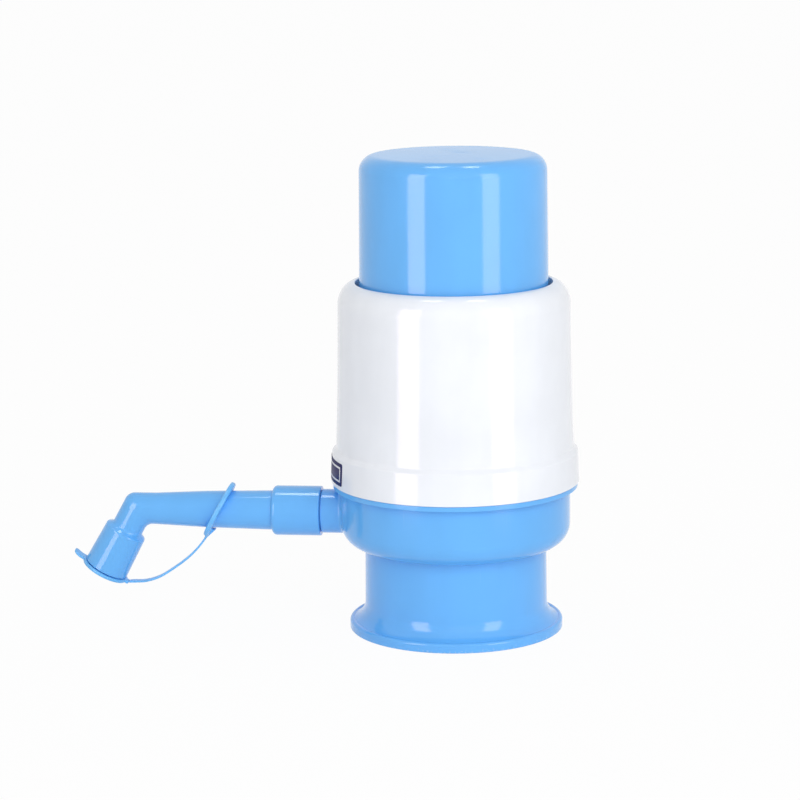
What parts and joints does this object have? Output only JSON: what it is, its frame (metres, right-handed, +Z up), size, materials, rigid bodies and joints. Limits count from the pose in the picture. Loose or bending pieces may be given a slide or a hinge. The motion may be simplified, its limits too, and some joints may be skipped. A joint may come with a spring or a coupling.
{
  "type": "water jug hand pump",
  "caption": "Hand pump for a water jug: press cap over a bellows in a round housing, neck clamp below, bent swivelling spout with a tethered dust cap.",
  "frame": {"origin": "centre of the foot ring, on the surface the pump stands on", "axes": "+Z up along the pump's axis, the spout points along -X, +Y to the side"},
  "size_m": [0.2159, 0.104, 0.2],
  "materials": {
    "blue_plastic": "gloss",
    "soft_blue": "satin",
    "white_plastic": "gloss",
    "inner_plastic": "satin",
    "label_film": "satin",
    "bellows_rubber": "matt",
    "valve_rubber": "matt",
    "seal_rubber": "matt",
    "spring_steel": "bright",
    "screw_steel": "bright"
  },
  "bodies": {
    "base": {"housing": "white_plastic", "front_label": "label_film", "base_bowl": "blue_plastic", "valve_deck": "inner_plastic", "deck_screws": "screw_steel", "bellows_base_ring": "inner_plastic", "base_ring_screws": "screw_steel", "outlet_pipe": "inner_plastic", "pipe_seal": "seal_rubber", "spout_seal": "seal_rubber", "dip_tube_bush": "valve_rubber", "neck_seal": "seal_rubber", "bellows": "bellows_rubber", "return_spring": "spring_steel"},
    "press": {"press_cap": "blue_plastic", "top_plate": "inner_plastic", "bellows_top_ring": "inner_plastic", "top_ring_screws": "screw_steel"},
    "intake_valve": {"intake_valve": "valve_rubber"},
    "delivery_valve": {"delivery_valve": "valve_rubber"},
    "clamp_collar": {"clamp_collar": "blue_plastic"},
    "squeeze_ring": {"squeeze_ring": "inner_plastic"},
    "spout": {"spout": "blue_plastic", "cap_strap": "soft_blue"},
    "dust_cap": {"dust_cap": "soft_blue"}
  },
  "joints": [
    {"name": "press", "type": "slide", "parent": "base", "child": "press", "axis": [0, 0, -1], "range_m": [0, 0.045], "stiffness_N_per_m": 300, "springref_m": -0.05, "deforming": ["bellows", "return_spring"]},
    {"name": "intake_lift", "type": "slide", "parent": "press", "child": "intake_valve", "axis": [0, 0, -1], "range_m": [0, 0.0015], "stiffness_N_per_m": 20, "springref_m": -0.002},
    {"name": "delivery_lift", "type": "slide", "parent": "base", "child": "delivery_valve", "axis": [0, 0, -1], "range_m": [0, 0.0015], "stiffness_N_per_m": 20, "springref_m": -0.002},
    {"name": "collar_turn", "type": "hinge", "parent": "base", "child": "clamp_collar", "pos_m": [0, 0, 0.02], "axis": [0, 0, -1], "range_deg": [0, 90]},
    {"name": "neck_squeeze", "type": "slide", "parent": "base", "child": "squeeze_ring", "axis": [0, 0, 1], "range_m": [0, 0.00205], "deforming": ["neck_seal"]},
    {"name": "spout_swivel", "type": "hinge", "parent": "base", "child": "spout", "pos_m": [-0.065, 0, 0.0485], "axis": [-1, 0, 0], "continuous": true},
    {"name": "dust_cap_hinge", "type": "hinge", "parent": "spout", "child": "dust_cap", "pos_m": [-0.14126, 0, 0.01619], "axis": [0, -1, 0], "range_deg": [0, 100]}
  ],
  "couplings": [
    {"joint": "neck_squeeze", "follows": "collar_turn", "m_per_rad": 0.0012732}
  ]
}
